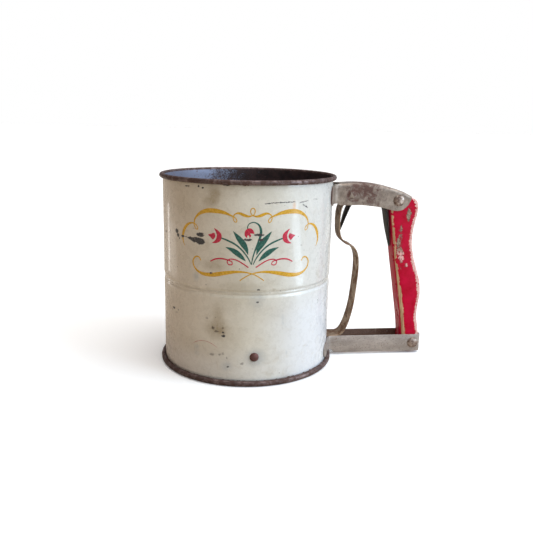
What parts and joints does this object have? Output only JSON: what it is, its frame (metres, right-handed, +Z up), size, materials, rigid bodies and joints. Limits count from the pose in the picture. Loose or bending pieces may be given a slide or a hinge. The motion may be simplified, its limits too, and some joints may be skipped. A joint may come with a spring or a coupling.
{
  "type": "flour sifter",
  "caption": "Squeeze-handle flour sifter: enamelled can with three stacked screens, agitators on one spindle, a spring-returned trigger and a wooden grip.",
  "frame": {"origin": "middle of the object's bounding box at its base, on the surface that the can's foot rests on", "axes": "+X from the can towards the handle, +Z up along the can's axis, +Y across the handle"},
  "size_m": [0.203, 0.1302, 0.14],
  "materials": {
    "enamel_can": "glossy cream enamel, worn and chipped, rusted rims",
    "bare_steel": "dull bare steel with rust",
    "wire_cloth": "woven wire, tarnished",
    "tinned_steel": "grey tinned steel with rust patches",
    "patina_steel": "brown patinated steel",
    "spring_steel": "blackened spring steel",
    "rivet_steel": "rusty brown steel",
    "brass_bush": "dull brass",
    "red_wood": "crimson painted wood, edges worn to bare wood"
  },
  "bodies": {
    "root": {"body_shell": "enamel_can", "top_rim_wire": "bare_steel", "bottom_rim_wire": "bare_steel", "lower_screen_hoop": "bare_steel", "middle_screen_hoop": "bare_steel", "upper_screen_hoop": "bare_steel", "lower_screen_mesh": "wire_cloth", "middle_screen_mesh": "wire_cloth", "upper_screen_mesh": "wire_cloth", "lower_screen_eyelet": "bare_steel", "middle_screen_eyelet": "bare_steel", "upper_screen_eyelet": "bare_steel", "crossbar": "bare_steel", "spindle_bush": "brass_bush", "crossbar_rivet_front": "rivet_steel", "crossbar_rivet_back": "rivet_steel", "top_bracket": "tinned_steel", "lower_bracket": "tinned_steel", "trigger_pivot_pin": "rivet_steel", "return_spring": "spring_steel", "handle_grip": "red_wood", "handle_top_rivet": "rivet_steel", "handle_lower_rivet": "rivet_steel"},
    "trigger": {"trigger": "patina_steel"},
    "drive_bar": {"drive_bar": "bare_steel"},
    "agitator_spindle": {"spindle": "bare_steel", "spindle_foot_washer": "bare_steel", "spindle_nut": "bare_steel", "crank": "bare_steel", "crank_pin": "bare_steel", "lower_agitator": "bare_steel", "middle_agitator": "bare_steel", "upper_agitator": "bare_steel", "lower_spacer": "bare_steel", "upper_spacer": "bare_steel"}
  },
  "joints": [
    {"name": "trigger_squeeze", "type": "hinge", "parent": "root", "child": "trigger", "pos_m": [0.04042, 0, 0.1253], "axis": [0, -1, 0], "range_deg": [0, 10], "stiffness_Nm_per_rad": 1, "springref_deg": -8.59, "deforming": ["return_spring"]},
    {"name": "drive_bar_slide", "type": "slide", "parent": "root", "child": "drive_bar", "axis": [1, 0, 0], "range_m": [0, 0.02]},
    {"name": "spindle_turn", "type": "hinge", "parent": "root", "child": "agitator_spindle", "pos_m": [-0.03638, 0, 0], "axis": [0, 0, -1], "range_deg": [0, 71.5]}
  ],
  "couplings": [
    {"joint": "drive_bar_slide", "follows": "trigger_squeeze", "m_per_rad": 0.11347},
    {"joint": "spindle_turn", "follows": "trigger_squeeze", "ratio": 7.1252}
  ]
}
